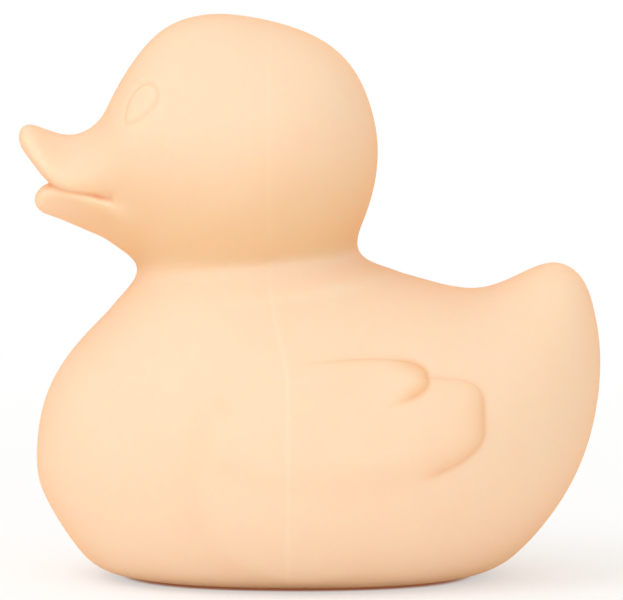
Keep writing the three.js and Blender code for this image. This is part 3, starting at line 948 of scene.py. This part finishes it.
@dataclass
class DuckSkin:
    """The whole moulding: the plain skin with its wings, eyes, flank ovals and mould seam."""

    plain: PlainSkin
    wing: Wing
    eye: Eye
    flank: FlankOval
    seam: MouldSeam
    voxel: float = 0.86
    even_passes: int = 2
    even_share: float = 0.6
    split_passes: int = 5
    split_share: float = 0.5
    mouth_edges: EdgeLength = EdgeLength(0.3, 1.2, 0.3)
    # Strength of the painted shade in the mouth's crease.
    mouth_crease_shade: float = 0.6
    mouth_line_width: float = 0.6
    mouth_line_end: Pair = (12.5, 15.5)
    plain_fineness: float = 1.3
    slack: float = 1.35
    wing_top: float = 48.0
    wing_from: float = 8.0
    wing_edges_from: float = 12.0
    eye_level: float = 66.0
    eye_from: float = 4.0
    eye_edges_from: float = 6.0
    flank_turn: Pair = (0.1, 0.5)
    bill_back: float = 22.0
    bill_levels: Pair = (55.0, 76.0)
    # overhang_start to overhang_fullness shape the painted shade under the head and the bill.
    overhang_start: Pair = (-5.0, 2.0)
    overhang_end: Pair = (0.0, 25.0)
    overhang_back: Pair = (0.0, 14.0)
    overhang_turn: Pair = (-0.8, 0.5)
    overhang_fullness: float = 0.6
    cheek: Triple = (14.0, 12.0, 69.0)
    cheek_reach: float = 9.0
    cheek_core: float = 0.4
    mouth_edge: Pair = (0.4, 1.8)
    groove_band: Pair = (1.5, 5.5)
    groove_share: float = 0.45
    soften_passes: int = 30
    soften_share: float = 0.7

    def _on_flank(self, points: Array) -> Array:
        """Whether points lie where a wing may be."""
        return (points[:, 2] < self.wing_top) & (np.abs(points[:, 1]) > self.wing_from)

    def _on_face(self, points: Array) -> Array:
        """Whether points lie where an eye may be."""
        return (points[:, 2] > self.eye_level) & (np.abs(points[:, 1]) > self.eye_from)

    def _on_bill(self, points: Array) -> Array:
        """Numbers of the points that lie round the bill."""
        low, high = self.bill_levels
        level = points[:, 2]
        return np.flatnonzero((points[:, 0] < self.bill_back) & (level > low) & (level < high))

    def wanted_size(self, points: Array) -> Array:
        """Length that mesh edges should have at points of the skin."""
        side_view, aside, level = points[:, [0, 2]], np.abs(points[:, 1]), points[:, 2]
        wing = self.wing.wanted_size(side_view)
        wing[(level > self.wing_top) | (aside < self.wing_edges_from)] = FAR
        eye = self.eye.wanted_size(side_view)
        eye[(level < self.eye_level) | (aside < self.eye_edges_from)] = FAR
        seam = self.seam.wanted_size(points)
        seam[level < self.seam.start_level[0]] = FAR
        size = np.minimum(np.minimum(wing, eye), seam)
        mouth = np.full(len(points), FAR)
        bill = self._on_bill(points)
        mouth[bill] = self.mouth_edges.at(self.plain.mouth_gap(points[bill]))
        return np.minimum(np.minimum(size, mouth), self.plain_fineness)

    def first_mesh(self) -> tuple[Array, Array]:
        """Even mesh over the three forms together.

        Returns:
            Its points, and the corners of its triangles.
        """
        points, faces = [], []
        for form in self.plain.forms:
            start = sum(len(part) for part in points)
            points.append(form.points)
            faces += [[corner + start for corner in face] for face in form.faces]
        mesh = bpy.data.meshes.new("duck_forms")
        mesh.from_pydata(np.vstack(points).tolist(), [], faces)
        forms = add_object("duck_forms", mesh)
        remesh = forms.modifiers.new("even", "REMESH")
        remesh.mode = "VOXEL"
        remesh.voxel_size = self.voxel
        ready = forms.evaluated_get(bpy.context.evaluated_depsgraph_get())
        even = ready.to_mesh()
        even.calc_loop_triangles()
        found = np.empty(len(even.vertices) * 3)
        even.vertices.foreach_get("co", found)
        corners = np.empty(len(even.loop_triangles) * 3, dtype=np.int32)
        even.loop_triangles.foreach_get("vertices", corners)
        ready.to_mesh_clear()
        bpy.data.objects.remove(forms)
        bpy.data.meshes.remove(mesh)
        return found.reshape(-1, 3), corners.reshape(-1, 3).astype(np.int64)

    def details(self, points: Array, outward: Array) -> Array:
        """Height of wings, eyes, flank ovals and seam over points of the plain skin."""
        side_view = points[:, [0, 2]]
        oval = self.flank.height(side_view) * ease(np.abs(outward[:, 1]), *self.flank_turn)
        flank = np.maximum(self.wing.height(side_view), oval)
        height = np.where(self._on_flank(points), flank, 0.0)
        height += np.where(self._on_face(points), self.eye.height(side_view), 0.0)
        return height + self.seam.thickness * self.seam.mask(points)

    def lines(self, points: Array) -> Array:
        """Strength of the painted shade at the foot of a raised detail or in the mouth's crease, from 0 to
        1.
        """
        side_view = points[:, [0, 2]]
        oval = self.flank.lines(side_view) * (1.0 - self.wing.cover(side_view))
        flank = np.maximum(self.wing.lines(side_view), oval)
        face = np.where(self._on_face(points), self.eye.lines(side_view), 0.0)
        lines = np.where(self._on_flank(points), flank, face)
        bill = self._on_bill(points)
        crease = bell(self.plain.mouth_gap(points[bill]), self.mouth_line_width)
        crease *= 1.0 - ease(points[bill, 0], *self.mouth_line_end)
        lines[bill] = np.maximum(lines[bill], self.mouth_crease_shade * crease)
        return lines

    def _above_groove(self, points: Array) -> Array:
        """Height of points over the neck's sloping groove."""
        neck = self.plain.head.neck
        behind = points[:, 0] - neck.torso.neck_setback
        return points[:, 2] - (neck.torso.height + neck.rise * behind / neck.length)

    def overhang_shade_mask(self, points: Array, outward: Array) -> Array:
        """Strength of the painted shade on the underside of the head or of the bill, from 0 to 1."""
        above = self._above_groove(points)
        low = ease(above, *self.overhang_start) * (1.0 - ease(above, *self.overhang_end))
        low *= ease(points[:, 0], *self.overhang_back)
        return (low * ease(-outward[:, 2], *self.overhang_turn)) ** self.overhang_fullness

    def soften(self, points: Array, triangles: Array) -> Array:
        """Rounds the skin off where the cheeks run into the bill, and along the neck's groove."""
        one_side = np.column_stack([points[:, 0], np.abs(points[:, 1]), points[:, 2]])
        gap = np.linalg.norm(one_side - np.array(self.cheek), axis=1)
        share = 1.0 - ease(gap, self.cheek_core * self.cheek_reach, self.cheek_reach)
        share *= ease(self.plain.mouth_gap(points), *self.mouth_edge)
        groove = 1.0 - ease(np.abs(self._above_groove(points)), *self.groove_band)
        share = np.maximum(share, self.groove_share * groove)
        for _ in range(self.soften_passes):
            points = mix(points, relax(points, triangles, self.soften_share), share[:, None])
        return points

    def shaped(self) -> tuple[Array, Array]:
        """Mesh of the plain skin, finest where the details will be.

        Returns:
            Its points, and the corners of its triangles.
        """
        points, triangles = self.first_mesh()
        log.info("even mesh: %d points", len(points))
        for _ in range(self.even_passes):
            points = self.plain.settle(relax(points, triangles, self.even_share))
        for _ in range(self.split_passes):
            points, triangles, number = split_long_edges(points, triangles, self.wanted_size, self.slack)
            points = self.plain.settle(relax(points, triangles, self.split_share))
            log.info("edges halved: %d", number)
            if number == 0:
                break
        return self.soften(self.plain.settle(points), triangles), triangles

    def build(self) -> bpy.types.Object:
        """Makes the skin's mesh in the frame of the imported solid."""
        self.plain.prepare()
        points, triangles = self.shaped()
        _, outward = self.plain.distance(points)
        outward /= np.linalg.norm(outward, axis=1)[:, None]
        raised = points + outward * self.details(points, outward)[:, None]
        raised[:, 2] = np.maximum(raised[:, 2], 0.0)
        reach = np.concatenate([form.points[:, 0] for form in self.plain.forms])
        raised[:, 0] -= (reach.min() + reach.max()) / 2.0
        mesh = bpy.data.meshes.new("duck_skin")
        mesh.from_pydata((raised * MILLIMETRE).tolist(), [], triangles.tolist())
        mesh.polygons.foreach_set("use_smooth", np.ones(len(triangles), dtype=bool))
        masks = {
            "seam": self.seam.mask(points),
            # Painted shade under the head and the bill.
            "overhang_shade": self.overhang_shade_mask(points, outward),
            # Painted shade at the feet of raised details and in the mouth's crease.
            "line": self.lines(points),
        }
        for name, mask in masks.items():
            attribute = mesh.attributes.new(name, "FLOAT", "POINT")
            attribute.data.foreach_set("value", mask.astype(np.float32))
        skin = add_object("duck_skin", mesh)
        log.info("duck_skin: %d triangles", len(triangles))
        return skin

    def dress(self, skin: bpy.types.Object, finish: "RubberFinish") -> None:
        """Gives the skin its finish and its place in the frame."""
        skin.data.materials.append(finish.material())
        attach(skin, "root")
        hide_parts("duck_body")


def fill(tree: bpy.types.NodeTree, node: bpy.types.Node, inputs: Inputs) -> None:
    """Sets inputs of a node to values, or links them to outputs of other nodes."""
    for name, value in inputs.items():
        if isinstance(value, bpy.types.NodeSocket):
            tree.links.new(value, node.inputs[name])
        else:
            node.inputs[name].default_value = value


def add_node(
    tree: bpy.types.NodeTree, kind: str, inputs: Inputs, **settings: str | bpy.types.NodeTree
) -> bpy.types.Node:
    """Adds a node to a tree.

    Args:
        tree: Nodes of a material, of the world or of a group.
        kind: Kind of node.
        inputs: Values for its inputs, or outputs of other nodes.
        settings: Its other settings, which come first.

    Returns:
        The node.
    """
    node = tree.nodes.new(kind)
    for name, value in settings.items():
        setattr(node, name, value)
    fill(tree, node, inputs)
    return node


def shown_rays(tree: bpy.types.NodeTree) -> bpy.types.NodeSocket:
    """Adds nodes that tell the rays that show a surface from those that only carry light.

    Args:
        tree: Nodes of the material or world itself.

    Returns:
        The output that is 1 for camera, glossy and transmission rays and 0 for the rest.
    """
    rays = add_node(tree, "ShaderNodeLightPath", {})
    shown = rays.outputs["Is Camera Ray"]
    for name in ("Is Glossy Ray", "Is Transmission Ray"):
        either = add_node(tree, "ShaderNodeMath", {0: shown, 1: rays.outputs[name]}, operation="MAXIMUM")
        shown = either.outputs[0]
    return shown


def mottle_group() -> bpy.types.NodeTree:
    """Group that gives a soft, cloudy value and a fine grain, for rubber and for paper.

    Returns:
        The group, with inputs Cloud Size, Grain Size and Amount, and outputs Cloud and Grain.
    """
    group = bpy.data.node_groups.new("soft_mottle", "ShaderNodeTree")
    for name, value in (("Cloud Size", 60.0), ("Grain Size", 2500.0), ("Amount", 1.0)):
        socket = group.interface.new_socket(name, in_out="INPUT", socket_type="NodeSocketFloat")
        socket.default_value = value
    for name in ("Cloud", "Grain"):
        group.interface.new_socket(name, in_out="OUTPUT", socket_type="NodeSocketFloat")
    entry, leave = group.nodes.new("NodeGroupInput"), group.nodes.new("NodeGroupOutput")
    place = add_node(group, "ShaderNodeTexCoord", {}).outputs["Object"]
    amount = entry.outputs["Amount"]
    for output, size, detail in (("Cloud", "Cloud Size", 3.0), ("Grain", "Grain Size", 2.0)):
        pattern = {"Vector": place, "Scale": entry.outputs[size], "Detail": detail}
        noise = add_node(group, "ShaderNodeTexNoise", pattern).outputs["Fac"]
        centred = add_node(group, "ShaderNodeMath", {0: noise, 1: 0.5}, operation="SUBTRACT").outputs[0]
        scaled = add_node(group, "ShaderNodeMath", {0: centred, 1: amount}, operation="MULTIPLY")
        fill(group, leave, {output: scaled.outputs[0]})
    return group


def add_mottle(
    tree: bpy.types.NodeTree, group: bpy.types.NodeTree, inputs: Inputs, strength: float, depth: float
) -> tuple[bpy.types.NodeSocket, bpy.types.NodeSocket]:
    """Adds the mottle group to a material, with a bump of its grain.

    Args:
        tree: Nodes of the material.
        group: The mottle group.
        inputs: Values for the group's inputs.
        strength: Strength of the bump.
        depth: Depth of the bump, in metres.

    Returns:
        The outputs for the cloudy value and for the bumped normal.
    """
    mottle = add_node(tree, "ShaderNodeGroup", inputs, node_tree=group)
    grain = {"Strength": strength, "Distance": depth, "Height": mottle.outputs["Grain"]}
    return mottle.outputs["Cloud"], add_node(tree, "ShaderNodeBump", grain).outputs["Normal"]


@dataclass(frozen=True)
class RubberFinish:
    """Undyed natural rubber, matte and slightly cloudy, with a warm bloom and a paler mould seam, and with
    painted shade under the head and bill, at the feet of raised details and in the mouth's crease.
    """

    mottle: bpy.types.NodeTree
    pale: Colour = to_linear(250, 219, 190)
    deep: Colour = to_linear(250, 215, 184)
    seam: Colour = to_linear(251, 221, 192)
    # Painted shade under the head and the bill.
    overhang_shade_tint: Colour = (0.88, 0.81, 0.64, 1.0)
    # Painted shade at the feet of raised details and in the mouth's crease.
    line_shade_tint: Colour = (0.93, 0.80, 0.65, 1.0)
    sheen: float = 0.66
    sheen_tint: Colour = (1.0, 0.4, 0.07, 1.0)
    sheen_roughness: float = 0.5
    roughness: float = 0.58
    specular: float = 0.3
    scatter: float = 0.5
    scatter_radius: Triple = (1.0, 0.45, 0.22)
    scatter_scale: float = 0.006
    cloud_size: float = 45.0
    cloud_range: float = 0.25
    grain_size: float = 1800.0
    grain_strength: float = 0.25
    grain_depth: float = 0.00004

    def material(self) -> bpy.types.Material:
        """Builds the material."""
        material = bpy.data.materials.new("natural_rubber")
        material.use_nodes = True
        tree = material.node_tree
        sizes = {"Cloud Size": self.cloud_size, "Grain Size": self.grain_size, "Amount": 1.0}
        cloud, normal = add_mottle(tree, self.mottle, sizes, self.grain_strength, self.grain_depth)
        spread = {"Value": cloud, "From Min": -self.cloud_range, "From Max": self.cloud_range}
        share = add_node(tree, "ShaderNodeMapRange", spread).outputs["Result"]
        tones = {"Factor": share, "A": self.pale, "B": self.deep}
        colour = add_node(tree, "ShaderNodeMix", tones, data_type="RGBA").outputs["Result"]
        for name, tint, blend in (
            ("seam", self.seam, "MIX"),
            # Painted shade under the head and the bill, multiplied into the colour.
            ("overhang_shade", self.overhang_shade_tint, "MULTIPLY"),
            # Painted shade at the feet of raised details and in the mouth's crease, multiplied into the
            # colour.
            ("line", self.line_shade_tint, "MULTIPLY"),
        ):
            mask = add_node(tree, "ShaderNodeAttribute", {}, attribute_name=name).outputs["Fac"]
            tones = {"Factor": mask, "A": colour, "B": tint}
            tinted = add_node(tree, "ShaderNodeMix", tones, data_type="RGBA", blend_type=blend)
            colour = tinted.outputs["Result"]
        fill(tree, tree.nodes["Principled BSDF"], {
            "Base Color": colour,
            "Roughness": self.roughness,
            "Specular IOR Level": self.specular,
            "Subsurface Weight": self.scatter,
            "Subsurface Radius": self.scatter_radius,
            "Subsurface Scale": self.scatter_scale,
            "Sheen Weight": self.sheen,
            "Sheen Roughness": self.sheen_roughness,
            "Sheen Tint": self.sheen_tint,
            "Normal": normal,
        })
        return material


@dataclass(frozen=True)
class PaperFinish:
    """White studio paper that shows white where no shadow falls on it, with a painted dark red-brown contact
    shadow round the duck's base.
    """

    mottle: bpy.types.NodeTree
    colour: Colour = (0.98, 0.98, 0.98, 1.0)
    roughness: float = 0.9
    grain_amount: float = 0.2
    grain_strength: float = 0.1
    grain_depth: float = 0.00002
    shown_white: float = 0.5
    white_from: float = 0.1
    white_beyond: float = 0.45
    # Painted contact shadow: a dark red-brown tone that the camera sees on the paper close round the duck's
    # base.
    contact_shadow_tone: Colour = (0.45, 0.12, 0.04, 1.0)
    contact_shadow_reach: float = 0.0008
    contact_shadow_open: Pair = (0.1, 0.6)

    def material(self) -> bpy.types.Material:
        """Builds the material."""
        material = bpy.data.materials.new("studio_paper")
        material.use_nodes = True
        tree = material.node_tree
        shader = tree.nodes["Principled BSDF"]
        sizes = {"Amount": self.grain_amount}
        _, normal = add_mottle(tree, self.mottle, sizes, self.grain_strength, self.grain_depth)
        fill(tree, shader, {
            "Base Color": self.colour,
            "Roughness": self.roughness,
            "Specular IOR Level": 0.0,
            "Normal": normal,
        })
        # Painted contact shadow: where ambient occlusion finds the duck close, the glow that the camera sees
        # turns dark red-brown.
        gap = add_node(tree, "ShaderNodeAmbientOcclusion", {"Distance": self.contact_shadow_reach}).outputs["AO"]
        opening = {"Value": gap, "From Min": self.contact_shadow_open[0], "From Max": self.contact_shadow_open[1]}
        opened = add_node(tree, "ShaderNodeMapRange", opening, interpolation_type="SMOOTHSTEP")
        tones = {"Factor": opened.outputs["Result"], "A": self.contact_shadow_tone, "B": WHITE}
        tone = add_node(tree, "ShaderNodeMix", tones, data_type="RGBA").outputs["Result"]
        glow = add_node(tree, "ShaderNodeEmission", {"Color": tone, "Strength": 1.0})
        place = add_node(tree, "ShaderNodeTexCoord", {}).outputs["Object"]
        reach = add_node(tree, "ShaderNodeVectorMath", {0: place}, operation="LENGTH")
        white = {
            "Value": reach.outputs["Value"],
            "From Min": self.white_from,
            "From Max": self.white_beyond,
            "To Min": self.shown_white,
            "To Max": 1.0,
        }
        fade = add_node(tree, "ShaderNodeMapRange", white, interpolation_type="SMOOTHSTEP").outputs["Result"]
        amount = add_node(tree, "ShaderNodeMath", {0: shown_rays(tree), 1: fade}, operation="MULTIPLY")
        shades = {"Fac": amount.outputs[0], 1: shader.outputs["BSDF"], 2: glow.outputs["Emission"]}
        both = add_node(tree, "ShaderNodeMixShader", shades)
        fill(tree, tree.nodes["Material Output"], {"Surface": both.outputs["Shader"]})
        return material


@dataclass(frozen=True)
class Lamp:
    """One soft studio lamp."""

    role: LampRole
    place: Triple
    size: float
    power: float
    colour: Triple

    def build(self, aim: Vector) -> bpy.types.Object:
        """Hangs the lamp and turns it to the aim."""
        data = bpy.data.lights.new(f"{self.role.value}_lamp", "AREA")
        data.shape = "DISK"
        data.size = self.size
        data.energy = self.power
        data.color = self.colour
        lamp = add_object(data.name, data)
        lamp.location = self.place
        lamp.rotation_euler = (aim - Vector(self.place)).to_track_quat("-Z", "Y").to_euler()
        return lamp


@dataclass
class Studio:
    """Pale floor, soft lamps, white surroundings and the camera."""

    paper: PaperFinish
    floor_reach: float = 9.0
    floor_drop: float = 0.0001
    world_light: float = 0.785
    world_tilt: Triple = (-0.2, -0.08, 0.22)
    world_colour: Colour = (1.0, 0.99, 0.95, 1.0)
    distance: float = 0.8
    elevation: float = math.radians(4.5)
    aim_height: float = 0.04
    aim_pixel: Pair = (310.0, 335.7)
    pixels_per_metre: float = 6000.0
    sensor: float = 36.0
    lamps: tuple[Lamp, ...] = (
        Lamp(LampRole.KEY, (-0.682, -0.682, 1.189), 0.9, 3.6, (0.92, 0.97, 1.08)),
        Lamp(LampRole.FILL, (0.386, -1.441, 0.197), 0.9, 2.6, (1.0, 0.97, 0.9)),
    )

    def build(self) -> None:
        """Sets up the whole studio."""
        self._floor()
        self._world()
        aim = Vector((0.0, 0.0, self.aim_height))
        for lamp in self.lamps:
            lamp.build(aim)
            log.info("%s lamp", lamp.role.value)
        self._camera()

    def _floor(self) -> None:
        """Lays the paper, as one triangle, so that no inner edge shows on it."""
        mesh = bpy.data.meshes.new("studio_floor")
        turns = [math.tau * corner / 3.0 for corner in range(3)]
        reach, level = self.floor_reach, -self.floor_drop
        corners = [(reach * math.sin(turn), -reach * math.cos(turn), level) for turn in turns]
        mesh.from_pydata(corners, [], [(0, 1, 2)])
        mesh.materials.append(self.paper.material())
        floor = add_object("studio_floor", mesh)

    def _world(self) -> None:
        """Lights softly from all round, most from the front, the left and above, and shows white."""
        world = bpy.data.worlds.new("studio_white")
        world.use_nodes = True
        tree = world.node_tree
        light = tree.nodes["Background"]
        toward = add_node(tree, "ShaderNodeTexCoord", {}).outputs["Generated"]
        turned = {0: toward, 1: self.world_tilt}
        tilt = add_node(tree, "ShaderNodeVectorMath", turned, operation="DOT_PRODUCT").outputs["Value"]
        levels = {0: tilt, 1: self.world_light, 2: self.world_light}
        level = add_node(tree, "ShaderNodeMath", levels, operation="MULTIPLY_ADD")
        fill(tree, light, {"Color": self.world_colour, "Strength": level.outputs[0]})
        white = add_node(tree, "ShaderNodeBackground", {"Color": WHITE, "Strength": 1.0})
        shades = {"Fac": shown_rays(tree), 1: light.outputs["Background"], 2: white.outputs["Background"]}
        both = add_node(tree, "ShaderNodeMixShader", shades)
        fill(tree, tree.nodes["World Output"], {"Surface": both.outputs["Shader"]})
        bpy.context.scene.world = world

    def _camera(self) -> None:
        """Sets the camera where the photograph was taken from, without lens shift."""
        focal = self.pixels_per_metre * self.distance
        data = bpy.data.cameras.new("photo_camera")
        data.sensor_width = self.sensor
        data.lens = self.sensor * focal / PHOTO_WIDTH
        camera = add_object("photo_camera", data)
        back = Vector((0.0, -math.cos(self.elevation), math.sin(self.elevation)))
        camera.location = Vector((0.0, 0.0, self.aim_height)) + back * self.distance
        tilt = math.atan((self.aim_pixel[1] - PHOTO_HEIGHT / 2.0) / focal)
        pan = math.atan((PHOTO_WIDTH / 2.0 - self.aim_pixel[0]) / focal)
        camera.rotation_euler = (math.pi / 2.0 - self.elevation + tilt, 0.0, -pan)
        bpy.context.scene.camera = camera


def main() -> None:
    """Builds the duck and its studio."""
    logging.basicConfig(level=logging.INFO, format="%(name)s: %(message)s")
    torso = Torso()
    head = Head(Neck(torso))
    plain = PlainSkin(torso, head, LowerBill(head))
    duck = DuckSkin(plain, Wing(torso), Eye(head), FlankOval(), MouldSeam())
    mottle = mottle_group()
    skin = duck.build()
    duck.dress(skin, RubberFinish(mottle))
    Studio(PaperFinish(mottle)).build()
    bpy.context.scene.view_settings.view_transform = "Standard"


if __name__ == "__main__":
    main()
